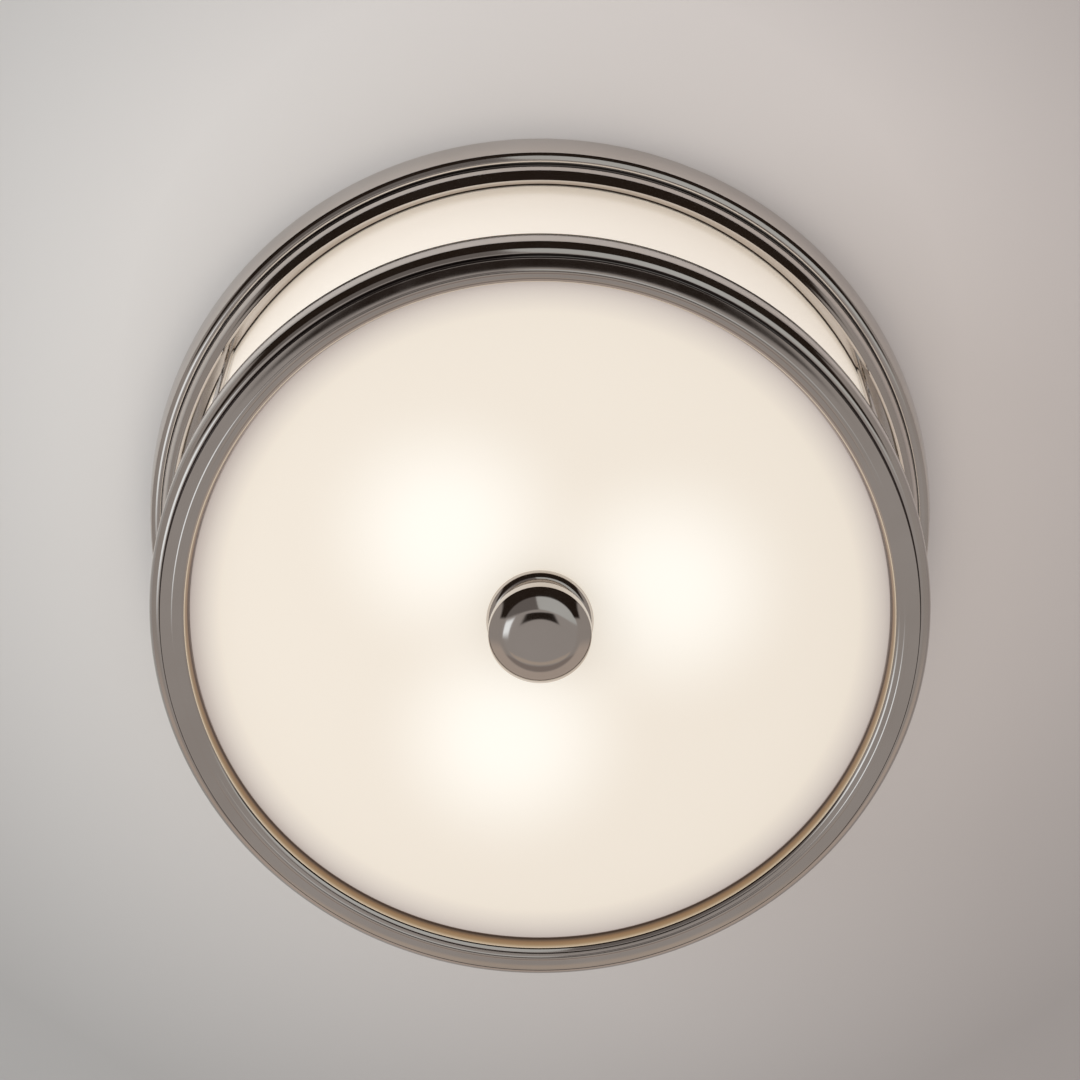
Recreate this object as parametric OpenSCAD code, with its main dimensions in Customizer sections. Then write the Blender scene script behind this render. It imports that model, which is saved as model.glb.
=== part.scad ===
/* [Overall] */
// Outer diameter of the side glass drum
drum_d = 318; // [290:1:350]
// Depth from the ceiling to the lip plane of the lower ring
drop_h = 136; // [130:1:160]

/* [Ceiling pan] */
// Width of the moulded rim, from its inner lip to its outer edge
rim_w = 13.2; // [12.4:0.2:16]
// Depth of the moulded rim below the ceiling
rim_h = 28.5; // [25:0.5:32]
// Open gap between the rim's inner lip and the side glass
lip_gap = 5.6; // [5.2:0.1:7]
// Depth of the wiring space behind the pan
pan_recess = 12; // [11:0.5:14]
// Sheet thickness of the pan
pan_t = 1.2; // [0.9:0.1:1.5]

/* [Mounting strap] */
// Distance between the two slots for the outlet box screws
box_spacing = 88.9; // [82:0.1:96]
// Width of each slot
slot_w = 4.8; // [4.2:0.1:5.4]
// End-to-end length of each slot
slot_l = 13; // [10:0.5:16]
// Width of the strap
strap_w = 20; // [18:1:26]
// Thickness of the strap
strap_t = 1.6; // [1.2:0.1:2]
// Distance between the two pan studs
stud_spacing = 60; // [56:1:66]
// Diameter of a pan stud
stud_d = 4.1; // [3.5:0.1:4.5]

/* [Centre rod] */
// Outside diameter of the threaded centre rod
rod_d = 9.73; // [9.2:0.01:10.2]
// Distance across the flats of a rod nut
nut_flats = 14.3; // [13.5:0.1:15.5]
// Thickness of a rod nut
nut_h = 3; // [2.5:0.1:3.2]

/* [Side glass and posts] */
// Wall thickness of the side glass drum
drum_t = 4; // [3:0.5:5]
// Thickness of the soft gaskets at both ends of the drum
gasket_t = 1.5; // [1:0.1:2]
// Diameter of a post
post_d = 3; // [2.6:0.1:3.2]
// Angle of the first post round the lamp
post_angle = 91.8; // [80:0.1:100]

/* [Lower ring] */
// Width of the lower ring, from its inner lip to its outer wall
ring_w = 14.9; // [14:0.1:16]
// Distance that the lower ring stands out past the side glass
ring_stand = 5.3; // [5:0.1:6]
// Height of the lower ring above its lip plane
ring_h = 19.3; // [18.6:0.1:22]
// Sheet thickness of the lower ring
ring_t = 1.3; // [1:0.1:1.5]
// Thickness of the seat ring inside it
seat_t = 1.5; // [1.2:0.1:2]
// Width of the flange that the bottom glass closes against
flange_w = 6.5; // [5:0.5:8]

/* [Bottom glass] */
// Thickness of the bottom glass
glass_t = 4; // [3:0.5:4.5]
// Height of the bottom glass above the lip plane
glass_rise = 7; // [6.4:0.2:7.6]
// Diameter of the hole for the centre rod
glass_hole_d = 13; // [12:0.5:16]

/* [Finial] */
// Diameter of the turned knob
knob_d = 43.4; // [38:0.2:48]
// Distance of the knob's widest part below the lip plane
knob_drop = 8.2; // [7.6:0.1:9.4]
// Diameter at which the knob's belly meets the cove round its nose
button_d = 21.4; // [18:0.2:23]
// Diameter of the base that holds up the glass
base_d = 45.2; // [40:0.2:50]

/* [Lamps] */
// Radius of the circle that the lamps stand on
lamp_circle_r = 59; // [54:1:64]
// Angle of the first lamp round the centre rod
lamp_angle = -135; // [-150:1:-120]
// Diameter of a globe bulb
bulb_d = 52.4; // [44:0.2:56]
// Length of a bulb, from contact to crown
bulb_l = 74; // [70:1:80]
// Diameter of a bulb's screw cap
cap_d = 11.7; // [11.5:0.05:11.9]
// Diameter of a porcelain lampholder
holder_d = 24; // [22:0.5:27]
// Height of a porcelain lampholder
holder_h = 28; // [26:0.5:31]
// Diameter of a sleeved lead
lead_d = 4; // [3:0.1:4.4]

/* [Terminal block] */
// Length of the terminal block
block_l = 36; // [32:1:42]
// Width of the terminal block
block_w = 16; // [14:0.5:20]
// Height of the terminal block
block_h = 8.6; // [8:0.1:8.8]
// Diameter of an entry for a supply conductor
entry_d = 3.2; // [2.6:0.1:3.6]

/* [Hidden] */
$fn = 96;

lamp_count = 3;
post_count = 3;
nickel = [0.62, 0.59, 0.57];
zinc = [0.72, 0.73, 0.74];
brass = [0.72, 0.58, 0.3];
frosted = [0.97, 0.94, 0.88];

// Fits
thread_fit = 0.085;
slide_fit = 0.35;
hole_fit = 0.15;
washer_t = 1;

// Levels, from the ceiling down
lip_z = -drop_h;
pan_top_z = -pan_recess;
pan_low_z = pan_top_z - pan_t;
reflector_t = 0.8;
reflector_low_z = pan_low_z - reflector_t;
cup_t = 1;
holder_top_z = reflector_low_z - cup_t;
holder_low_z = holder_top_z - holder_h;
glass_low_z = lip_z + glass_rise;
glass_top_z = glass_low_z + glass_t;
diffuser_gasket_t = 1;
seat_low_z = glass_top_z + diffuser_gasket_t;
seat_top_z = seat_low_z + seat_t;
drum_low_z = seat_top_z + gasket_t;
drum_top_z = pan_low_z - gasket_t;

// Radii, from the drum outwards and inwards
drum_r = drum_d / 2;
drum_in_r = drum_r - drum_t;
rim_lip_r = drum_r + lip_gap;
rim_r = rim_lip_r + rim_w;
ring_r = drum_r + ring_stand;
ring_lip_r = ring_r - ring_w;
glass_wall_r = ring_lip_r - 1.7;
bottom_glass_r = glass_wall_r - slide_fit - 0.05;
seat_in_r = bottom_glass_r - flange_w;
post_circle_r = (drum_r + ring_r - ring_t) / 2;
rod_r = rod_d / 2;
reflector_gap = 5;
reflector_r = drum_in_r - reflector_gap;

// Posts and their screws
post_spigot_r = post_d / 2 - 0.4;
post_screw_r = post_d / 2 - 0.5;
post_screw_l = 7;
post_screw_head_r = post_screw_r * 1.9;
post_screw_head_h = 1.4;
post_bore_l = post_screw_l + 1;

// Pan rim moulding: a leaning wall, a shallow bead, a step and a deep bead that ends in the lip
rim_edge_h = 2.5;
rim_lean = 2.9;
rim_step = 0.6;
bead_a_r = 5.3;
bead_a_from = 42;
bead_a_to = -15;
bead_b_r = 8.2;
bead_b_from = 85;
bead_b_to = 32;
bead_b_step = 3.8;
lip_roll = 1.06;
bead_b_h = bead_b_r * (cos(bead_b_to) - cos(bead_b_from));
wall_low_z = -(rim_h - lip_roll - bead_b_h - bead_b_step);
bead_a_start = [rim_r - rim_lean - rim_step + 0.1, wall_low_z - rim_step];
bead_a_end = bead_a_start - bead_a_r * [
    sin(bead_a_from) - sin(bead_a_to), cos(bead_a_to) - cos(bead_a_from)
];
bead_b_start = [bead_a_end.x - 0.2, wall_low_z - bead_b_step];
rim_hollow_r = rim_lip_r + 0.1;
rim_wall_r = rim_hollow_r - pan_t;

// Lower ring moulding, heights above the lip plane
bead_1_r = 4.9;
bead_1_z = 8.3;
bead_1_to = -10;
bead_2_r = 4;
bead_2_from = 62;
bead_2_to = -50;
bead_2_start = [ring_lip_r + 7.6, -0.3];
bead_1_end = [ring_r - bead_1_r * (1 - sin(bead_1_to)), bead_1_z - bead_1_r * cos(bead_1_to)];
groove = bead_1_end + [-0.2, 0.3];
edge_break = 0.6;
flange_gap = 1.2;

// Centre rod and finial
rod_low_z = lip_z - 8.5;
knob_r = knob_d / 2;
knob_z = lip_z - knob_drop;
knob_edge_r = 3.4;
knob_edge_slope = 59;
button_r = button_d / 2;
button_slope = 12;
cove_r = 3.9;
cove_slope = 50;
nose_r = 6;
base_r = base_d / 2;
finial_washer_t = 0.6;
base_top_z = glass_low_z - finial_washer_t;
base_h = 4.2;
base_low_z = base_top_z - base_h;
stem_r = 10.5;
knob_bore_depth = base_low_z - rod_low_z + 2;

// Lamps
bore_fit = 0.35;
shell_t = 0.5;
shell_in_r = cap_d / 2 + bore_fit;
shell_out_r = shell_in_r + shell_t;
shell_h = 12;
shell_low_z = holder_low_z + 1;
shell_top_z = shell_low_z + shell_h;
contact_h = 0.4;
tip_z = shell_top_z - shell_t - contact_h - 0.3;
cap_low_z = holder_low_z - 0.5;
collar_h = 1.6;
bulb_r = bulb_d / 2;
bulb_low_z = tip_z - bulb_l;
bulb_t = 0.9;
globe_z = bulb_low_z + bulb_r;
neck_r = 6.6;
cup_wall = 0.9;
cup_r = holder_d / 2 + hole_fit + cup_wall;
cup_h = 8;
tab_l = 11;
tab_w = 12;
tab_screw_r = cup_r + 6;
screw_r = 2;
lead_z = pan_top_z + 4;
lead_bend_r = 4;
grommet_r = lead_d / 2 + 1.8;
grommet_flange_w = 1.6;
grommet_flange_t = 0.8;
lead_seat = 3;

// Terminal block on the back of the pan
block_pos = [0, -34];
block_top_z = pan_top_z + block_h;
entry_count = 3;
entry_pitch = block_l / entry_count;
pole_gap = 0.2;
entry_y = 3.5 - block_w / 2;
entry_floor = 2.1;
terminal_screw_y = entry_y + 5.7;
terminal_screw_r = 2;
terminal_screw_h = 1.8;
terminal_screw_sink = 0.3;

function at_lamp(i) = lamp_angle + 360 / lamp_count * i;
function lamp_pos(i) = lamp_circle_r * [cos(at_lamp(i)), sin(at_lamp(i))];
function at_post(i) = post_angle + 360 / post_count * i;

// Points of an arc that turns from one slope angle to the next, going inwards and down.
// A slope angle is how far the surface's normal leans outwards from straight down.
function bead(start, radius, slope_from, slope_to, steps) = [
    for (i = [0 : steps])
        let (slope = slope_from + (slope_to - slope_from) * i / steps)
        start + radius * [sin(slope) - sin(slope_from), cos(slope_from) - cos(slope)]
];

// Points of an arc round a centre
function arc(centre, radius, from, to, steps) = [
    for (i = [0 : steps]) let (a = from + (to - from) * i / steps) centre + radius * [cos(a), sin(a)]
];

// The same points in the opposite order
function backwards(points) = [for (i = [len(points) - 1 : -1 : 0]) points[i]];

function raised(points, height) = [for (p = points) p + [0, height]];

// Points of a turned curve that runs in and down, given by how far its surface leans outwards
// at both ends; a negative radius makes the curve hollow
function turned_arc(start, radius, from, to, steps) = [
    for (i = [0 : steps]) let (a = from + (to - from) * i / steps)
    start + radius * [sin(a) - sin(from), cos(from) - cos(a)]
];

module turned(points) {
    rotate_extrude() polygon(points);
}

module tube(outer_r, inner_r, low_z, high_z) {
    translate([0, 0, low_z]) difference() {
        cylinder(r = outer_r, h = high_z - low_z);
        translate([0, 0, -1]) cylinder(r = inner_r, h = high_z - low_z + 2);
    }
}

module rod(radius, low_z, high_z) {
    translate([0, 0, low_z]) cylinder(r = radius, h = high_z - low_z);
}

module at_studs() {
    for (side = [-1, 1]) translate([side * stud_spacing / 2, 0, 0]) children();
}

module at_lamps() {
    for (i = [0 : lamp_count - 1]) at_lamp_no(i) children();
}

module at_lamp_no(i) {
    rotate([0, 0, at_lamp(i)]) translate([lamp_circle_r, 0, 0]) children();
}

module at_posts() {
    for (i = [0 : post_count - 1]) at_post_no(i) children();
}

module at_post_no(i) {
    rotate([0, 0, at_post(i)]) translate([post_circle_r, 0, 0]) children();
}

// Back of the spun pan: a flat disc with a wall turned down round its edge
module ceiling_pan() {
    bend_r = 0.8;
    bend = [rim_wall_r - bend_r, pan_low_z - bend_r];
    lip_low_z = -rim_h + lip_roll;
    color(nickel) difference() {
        turned(concat(
            [[0, pan_top_z], [0, pan_low_z]], backwards(arc(bend, bend_r, 0, 90, 4)),
            [[rim_wall_r, lip_low_z], [rim_hollow_r, lip_low_z]], arc(bend, bend_r + pan_t, 0, 90, 4)
        ));
        rod(rod_r + hole_fit, pan_low_z - 1, 1);
        at_studs() rod(stud_d / 2 + slide_fit, pan_low_z - 1, 1);
        at_lamps() {
            rod(grommet_r + hole_fit, pan_low_z - 1, 1);
            translate([tab_screw_r, 0, 0]) rod(screw_r + hole_fit, pan_low_z - 1, 1);
        }
        at_posts() rod(post_screw_r + hole_fit, pan_low_z - 1, 1);
    }
}

// Moulded rim of the pan, spun from the same sheet in the real light. It is a node of its own
// so that the hollow behind the moulding stays open in collision.
module pan_rim() {
    back_a = bead_a_start - pan_t * [sin(bead_a_from), -cos(bead_a_from)];
    back_b = bead_b_start - pan_t * [sin(bead_b_from), -cos(bead_b_from)];
    back_b_r = bead_b_r - pan_t;
    bead_b_centre_r = bead_b_start.x - bead_b_r * sin(bead_b_from);
    back_b_to = asin((rim_hollow_r + 0.1 - bead_b_centre_r) / back_b_r);
    outside = concat(
        [[rim_r, 0], [rim_r, -rim_edge_h], [rim_r - rim_lean, wall_low_z]],
        bead(bead_a_start, bead_a_r, bead_a_from, bead_a_to, 8),
        [bead_a_end + [-0.1, 0.3], [bead_b_start.x, bead_a_end.y]],
        bead(bead_b_start, bead_b_r, bead_b_from, bead_b_to, 10),
        [[rim_lip_r + 0.5, -rim_h + 0.25], [rim_lip_r, -rim_h], [rim_wall_r + 0.5, -rim_h + 0.25]],
        [[rim_wall_r, -rim_h + lip_roll], [rim_hollow_r, -rim_h + lip_roll]]
    );
    back = concat(
        [[rim_r - pan_t, 0], [rim_r - pan_t, -rim_edge_h]],
        bead(back_a, bead_a_r - pan_t, bead_a_from, bead_a_to, 5),
        [[bead_b_start.x - pan_t, wall_low_z - 0.3]],
        bead(back_b, back_b_r, bead_b_from, back_b_to, 6)
    );
    color(nickel) turned(concat(outside, backwards(back)));
}

// Flat steel strap that is screwed to the outlet box
module mounting_strap() {
    strap_l = box_spacing + slot_l + 10;
    color(zinc) difference() {
        translate([0, 0, -strap_t]) linear_extrude(strap_t) difference() {
            square([strap_l, strap_w], center = true);
            for (side = [-1, 1]) translate([side * box_spacing / 2, 0]) {
                square([slot_l - slot_w, slot_w], center = true);
                for (end = [-1, 1]) translate([end * (slot_l - slot_w) / 2, 0]) circle(d = slot_w);
            }
        }
        rod(rod_r + thread_fit, -strap_t - 1, 1);
        at_studs() rod(stud_d / 2 + thread_fit, -strap_t - 1, 1);
        translate(ground_pos()) rod(screw_r + thread_fit, -strap_t - 1, 1);
    }
}

function ground_pos() = [stud_spacing / 4 + rod_r / 2, strap_w / 4, 0];

// Threaded studs that hang from the strap and hold the pan up
module pan_studs() {
    color(zinc) at_studs() rod(stud_d / 2, reflector_low_z - 7, 0);
}

// Domed nuts on the studs, under the reflector
module cap_nuts() {
    flats = 8.7;
    body_h = 4;
    dome_r = flats / 2 - 0.3;
    color(nickel) at_studs() difference() {
        union() {
            translate([0, 0, reflector_low_z - body_h]) cylinder(d = flats / cos(30), h = body_h, $fn = 6);
            translate([0, 0, reflector_low_z - body_h]) sphere(r = dome_r);
        }
        rod(stud_d / 2 + thread_fit, reflector_low_z - 7, reflector_low_z + 1);
    }
}

// Screw for the earth wire, in the strap
module ground_screw() {
    color("seagreen") translate(ground_pos()) {
        rod(screw_r, -strap_t - 4, 0);
        difference() {
            rod(screw_r * 2, -strap_t - 2, -strap_t);
            translate([-screw_r * 2, -0.5, -strap_t - 2.5]) cube([screw_r * 4, 1, 1.2]);
        }
    }
}

// Threaded rod down the middle, which carries the pan above and the finial below
module centre_rod() {
    chamfer = 0.8;
    color(brass) turned([
        [0, 0], [rod_r - chamfer, 0], [rod_r, -chamfer],
        [rod_r, rod_low_z + chamfer], [rod_r - chamfer, rod_low_z], [0, rod_low_z]
    ]);
}

module hex_nut(low_z, flats, height, bore_r) {
    translate([0, 0, low_z]) difference() {
        intersection() {
            cylinder(d = flats / cos(30), h = height, $fn = 6);
            cylinder(r = flats / cos(30) / 2 - 0.35, h = height);
        }
        translate([0, 0, -1]) cylinder(r = bore_r, h = height + 2);
    }
}

// Nuts under the strap, on the back of the pan and under the reflector
module rod_nuts() {
    color(brass) for (z = [
        -strap_t - washer_t - nut_h,
        pan_top_z + washer_t,
        reflector_low_z - washer_t - nut_h
    ]) hex_nut(z, nut_flats, nut_h, rod_r + thread_fit);
}

// One washer for each rod nut
module rod_washers() {
    color(zinc) for (z = [-strap_t - washer_t, pan_top_z, reflector_low_z - washer_t])
        tube(nut_flats / 2 + 1.6, rod_r + hole_fit, z, z + washer_t);
}

// White enamelled dish under the pan that throws the light down
module reflector() {
    skirt_h = 6;
    skirt_in = 3;
    color("white") difference() {
        turned([
            [0, pan_low_z], [reflector_r - skirt_in, pan_low_z],
            [reflector_r, pan_low_z - skirt_h], [reflector_r - reflector_t, pan_low_z - skirt_h],
            [reflector_r - skirt_in - 0.5, reflector_low_z], [0, reflector_low_z]
        ]);
        rod(rod_r + hole_fit, reflector_low_z - 1, pan_low_z + 1);
        at_studs() rod(stud_d / 2 + slide_fit, reflector_low_z - 1, pan_low_z + 1);
        at_lamps() {
            rod(grommet_r + hole_fit, reflector_low_z - 1, pan_low_z + 1);
            translate([tab_screw_r, 0, 0]) rod(screw_r + hole_fit, reflector_low_z - 1, pan_low_z + 1);
        }
    }
}

// Pressed steel cup with a screw tab, which grips the top of a lampholder
module holder_cup(i) {
    color(zinc) at_lamp_no(i) difference() {
        union() {
            rod(cup_r, holder_top_z - cup_h, reflector_low_z);
            translate([0, -tab_w / 2, holder_top_z]) cube([cup_r + tab_l - tab_w / 2, tab_w, cup_t]);
            translate([cup_r + tab_l - tab_w / 2, 0, 0]) rod(tab_w / 2, holder_top_z, reflector_low_z);
        }
        rod(cup_r - cup_wall, holder_top_z - cup_h - 1, holder_top_z);
        rod(lead_d / 2 + slide_fit, holder_top_z - 1, reflector_low_z + 1);
        translate([tab_screw_r, 0, 0]) rod(screw_r + hole_fit, holder_top_z - 1, reflector_low_z + 1);
    }
}

// Porcelain body, waisted under the cup, with the screw shell's bore in its lower end
module lampholder(i) {
    body_r = holder_d / 2;
    waist_z = holder_top_z - cup_h - 2;
    rib_z = holder_low_z + 4;
    color("ivory") at_lamp_no(i) difference() {
        turned([
            [0, holder_top_z], [body_r, holder_top_z], [body_r, waist_z],
            [body_r - 1.2, waist_z - 1.2], [body_r - 1.2, rib_z + 1.2], [body_r, rib_z],
            [body_r, holder_low_z + 1], [body_r - 1, holder_low_z], [0, holder_low_z]
        ]);
        rod(shell_out_r + thread_fit, holder_low_z - 1, shell_top_z);
        rod(lead_d / 2 + hole_fit, holder_top_z - lead_seat, holder_top_z + 1);
    }
}

// Brass shell that takes the bulb's screw cap, closed at its top by the centre contact
module screw_shell(i) {
    contact_r = 2.4;
    color(brass) at_lamp_no(i) {
        difference() {
            rod(shell_out_r, shell_low_z, shell_top_z);
            rod(shell_in_r, shell_low_z - 1, shell_top_z - shell_t);
        }
        rod(contact_r, shell_top_z - shell_t - contact_h, shell_top_z - shell_t);
    }
}

module holder_screws() {
    head_r = 3.6;
    head_h = 2.2;
    color(zinc) at_lamps() translate([tab_screw_r, 0, 0]) {
        rod(screw_r, holder_top_z, pan_top_z + 3.6);
        difference() {
            rod(head_r, holder_top_z - head_h, holder_top_z);
            translate([-head_r - 1, -0.5, holder_top_z - head_h - 1]) cube([2 * head_r + 2, 1, 2]);
        }
    }
}

module holder_nuts() {
    color(zinc) at_lamps() translate([tab_screw_r, 0, 0])
        hex_nut(pan_top_z, 7, 3, screw_r + thread_fit);
}

// Screw cap of a bulb, with its insulated tip and the collar that the glass is set in
module bulb_cap(i) {
    cap_r = cap_d / 2;
    color(brass) at_lamp_no(i) turned([
        [0, tip_z], [1.6, tip_z], [2.2, tip_z - 0.6], [2.2, tip_z - 1.2], [cap_r - 1.6, tip_z - 2.3],
        [cap_r, tip_z - 3.4], [cap_r, cap_low_z], [neck_r + 0.4, cap_low_z],
        [neck_r + 0.4, cap_low_z - collar_h], [0, cap_low_z - collar_h]
    ]);
}

// Frosted globe, blown hollow, that flares out of the neck and rounds to a sphere
module bulb_glass(i) {
    neck_top_z = cap_low_z - collar_h;
    shoulder = 40;
    flare_h = neck_top_z - globe_z - bulb_r * cos(shoulder);
    outside = concat(
        [[0, neck_top_z], [neck_r, neck_top_z], [neck_r, neck_top_z - flare_h * 0.4]],
        [[neck_r + 3, neck_top_z - flare_h * 0.7]],
        [for (a = [shoulder : 10 : 170]) [bulb_r * sin(a), globe_z + bulb_r * cos(a)]],
        [[0, bulb_low_z]]
    );
    in_r = bulb_r - bulb_t;
    inside = concat(
        [[0, neck_top_z - bulb_t], [neck_r - bulb_t, neck_top_z - bulb_t]],
        [[neck_r - bulb_t, neck_top_z - flare_h * 0.4], [neck_r + 2, neck_top_z - flare_h * 0.75]],
        [for (a = [shoulder : 10 : 170]) [in_r * sin(a), globe_z + in_r * cos(a)]],
        [[0, bulb_low_z + bulb_t]]
    );
    color(frosted) at_lamp_no(i) turned(concat(outside, backwards(inside)));
}

// Sleeved leads of one lampholder: up through the pan, then straight into the terminal block
module lead_sleeve(i) {
    r = lead_d / 2;
    color("gainsboro") along_lead(i) {
        rod(r, holder_top_z - lead_seat, lead_z - lead_bend_r);
        translate([lead_bend_r, 0, lead_z - lead_bend_r]) rotate([90, 0, 0]) rotate([0, 0, 90])
            rotate_extrude(angle = 90) translate([lead_bend_r, 0]) circle(r = r, $fn = 24);
        translate([lead_bend_r, 0, lead_z])
            rotate([0, 90, 0]) cylinder(r = r, h = lead_run(i) + lead_seat - lead_bend_r);
    }
}

// Frame of a lead: origin on its lamp's axis, +X towards its entry in the terminal block
module along_lead(i) {
    run = lead_target(i) - lamp_pos(i);
    translate([lamp_pos(i).x, lamp_pos(i).y, 0]) rotate([0, 0, atan2(run.y, run.x)]) children();
}

function lead_run(i) = norm(lead_target(i) - lamp_pos(i));

// Where each lead meets the terminal block: its left end, its right end and its back
function lead_target(i) = block_pos + [
    [-block_l / 2, -2],
    [block_l / 2, 2],
    [-block_l / 3, block_w / 2]
][i];

// Plastic bushings that line the lead holes in the pan and the reflector
module lead_grommets() {
    color("dimgray") at_lamps() difference() {
        union() {
            rod(grommet_r, reflector_low_z, pan_top_z + grommet_flange_t);
            rod(grommet_r + grommet_flange_w, pan_top_z, pan_top_z + grommet_flange_t);
        }
        rod(lead_d / 2 + hole_fit, reflector_low_z - 1, pan_top_z + 2);
    }
}

module at_entries() {
    for (i = [0 : entry_count - 1])
        translate([block_pos.x + (i - (entry_count - 1) / 2) * entry_pitch, block_pos.y, 0]) children();
}

// Three poles side by side on the back of the pan, each with an entry for a supply conductor,
// which comes straight down out of the outlet box
module terminal_block() {
    pole_w = entry_pitch - pole_gap;
    color("wheat") difference() {
        at_entries() translate([-pole_w / 2, -block_w / 2, pan_top_z]) cube([pole_w, block_w, block_h]);
        for (i = [0 : lamp_count - 1]) along_lead(i) translate([lead_run(i) - lead_seat, 0, lead_z])
            rotate([0, 90, 0]) cylinder(r = lead_d / 2 + hole_fit, h = 2 * lead_seat + 0.5);
        at_entries() {
            translate([0, entry_y, 0]) rod(entry_d / 2, pan_top_z + entry_floor, 0);
            translate([0, terminal_screw_y, 0])
                rod(terminal_screw_r + hole_fit, block_top_z - terminal_screw_sink - terminal_screw_h, 0);
        }
    }
}

module terminal_screws() {
    head_top_z = block_top_z - terminal_screw_sink;
    color(zinc) at_entries() translate([0, terminal_screw_y, 0]) difference() {
        rod(terminal_screw_r, head_top_z - terminal_screw_h, head_top_z);
        translate([-3, -0.4, head_top_z - 0.6]) cube([6, 0.8, 2]);
    }
}

// Polished post between the pan and the seat ring, outside the side glass
module post(i) {
    color(nickel) at_post_no(i) difference() {
        union() {
            rod(post_d / 2, seat_top_z, pan_low_z);
            rod(post_spigot_r, seat_low_z, seat_top_z);
        }
        rod(post_screw_r + thread_fit, pan_low_z - post_bore_l, pan_low_z + 1);
    }
}

// Screws that hold the posts to the pan, with their heads behind it
module post_screws() {
    color(zinc) at_posts() {
        rod(post_screw_r, pan_low_z - post_screw_l, pan_top_z);
        rod(post_screw_head_r, pan_top_z, pan_top_z + post_screw_head_h);
    }
}

// Soft angle ring at an end of the drum; its base is at z = 0 and its inner lip points up
module glass_seat() {
    lip_t = 0.7;
    lip_h = 2;
    turned([
        [drum_in_r - lip_t, 0], [drum_r + 0.2, 0], [drum_r + 0.2, gasket_t], [drum_in_r, gasket_t],
        [drum_in_r, gasket_t + lip_h], [drum_in_r - lip_t, gasket_t + lip_h]
    ]);
}

module upper_gasket() {
    color("whitesmoke") translate([0, 0, pan_low_z]) mirror([0, 0, 1]) glass_seat();
}

module lower_gasket() {
    color("whitesmoke") translate([0, 0, seat_top_z]) glass_seat();
}

// Frosted glass drum, open at both ends, with ground edges
module side_glass() {
    edge = 0.5;
    color(frosted) turned([
        [drum_in_r + edge, drum_top_z], [drum_r - edge, drum_top_z], [drum_r, drum_top_z - edge],
        [drum_r, drum_low_z + edge], [drum_r - edge, drum_low_z], [drum_in_r + edge, drum_low_z],
        [drum_in_r, drum_low_z + edge], [drum_in_r, drum_top_z - edge]
    ]);
}

// Spun ring round the foot of the drum: a top flange, an outer bead, a lower bead and a lip
module lower_ring() {
    flange_in_r = drum_r + flange_gap;
    hollow_r = ring_r - ring_t;
    back_2 = bead_2_start - ring_t * [sin(bead_2_from), -cos(bead_2_from)];
    outside = concat(
        [[flange_in_r, ring_h], [ring_r - edge_break, ring_h], [ring_r, ring_h - edge_break]],
        bead([ring_r, bead_1_z], bead_1_r, 90, bead_1_to, 12),
        [groove, groove - [0.05, 0.9]],
        bead(bead_2_start, bead_2_r, bead_2_from, bead_2_to, 14),
        [[ring_lip_r, 0], [glass_wall_r, glass_rise], [glass_wall_r, seat_low_z - lip_z]]
    );
    back = concat(
        [[flange_in_r, ring_h - ring_t], [hollow_r, ring_h - ring_t]],
        bead([hollow_r, bead_1_z], bead_1_r - ring_t, 90, 0, 6),
        [groove + [0, ring_t], groove + [-ring_t, ring_t], groove + [-ring_t, -0.4]],
        bead(back_2, bead_2_r - ring_t, bead_2_from, bead_2_to, 6),
        [[ring_lip_r + ring_t, 0.6], [glass_wall_r + ring_t, glass_rise]],
        [[glass_wall_r + ring_t, seat_low_z - lip_z]]
    );
    color(nickel) difference() {
        turned(raised(concat(outside, backwards(back)), lip_z));
        at_posts() rod(post_d / 2 + hole_fit, lip_z + ring_h - ring_t - 1, lip_z + ring_h + 1);
    }
}

// Flat steel ring inside the lower ring, which carries the drum and stops the bottom glass
module seat_ring() {
    lip_t = 1.2;
    lip_h = 2.5;
    color("white") difference() {
        turned([
            [seat_in_r, seat_low_z], [ring_r - ring_t, seat_low_z], [ring_r - ring_t, seat_top_z],
            [seat_in_r + lip_t, seat_top_z], [seat_in_r + lip_t, seat_top_z + lip_h],
            [seat_in_r, seat_top_z + lip_h]
        ]);
        at_posts() rod(post_spigot_r + thread_fit, seat_low_z - 1, seat_top_z + 1);
    }
}

// Soft ring under the seat, which the bottom glass closes against
module diffuser_gasket() {
    color("whitesmoke") tube(bottom_glass_r - 1, seat_in_r + 1, glass_top_z, seat_low_z);
}

// Flat frosted disc with a hole for the rod and ground edges
module bottom_glass() {
    edge = 0.6;
    hole_r = glass_hole_d / 2;
    color(frosted) turned([
        [hole_r, glass_low_z], [bottom_glass_r - edge, glass_low_z], [bottom_glass_r, glass_low_z + edge],
        [bottom_glass_r, glass_top_z - edge], [bottom_glass_r - edge, glass_top_z], [hole_r, glass_top_z]
    ]);
}

// Flanged bushing that keeps the glass off the rod
module glass_bushing() {
    bore_r = rod_r + slide_fit;
    flange_t = 1.2;
    color("whitesmoke") difference() {
        union() {
            rod(glass_hole_d / 2 - 0.1, glass_low_z, glass_top_z);
            rod(glass_hole_d / 2 + 2.5, glass_top_z, glass_top_z + flange_t);
        }
        rod(bore_r, glass_low_z - 1, glass_top_z + flange_t + 1);
    }
}

// Felt washer between the glass and the finial's base
module finial_washer() {
    color("linen") tube(base_r - 2, rod_r + slide_fit, base_top_z, glass_low_z);
}

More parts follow.
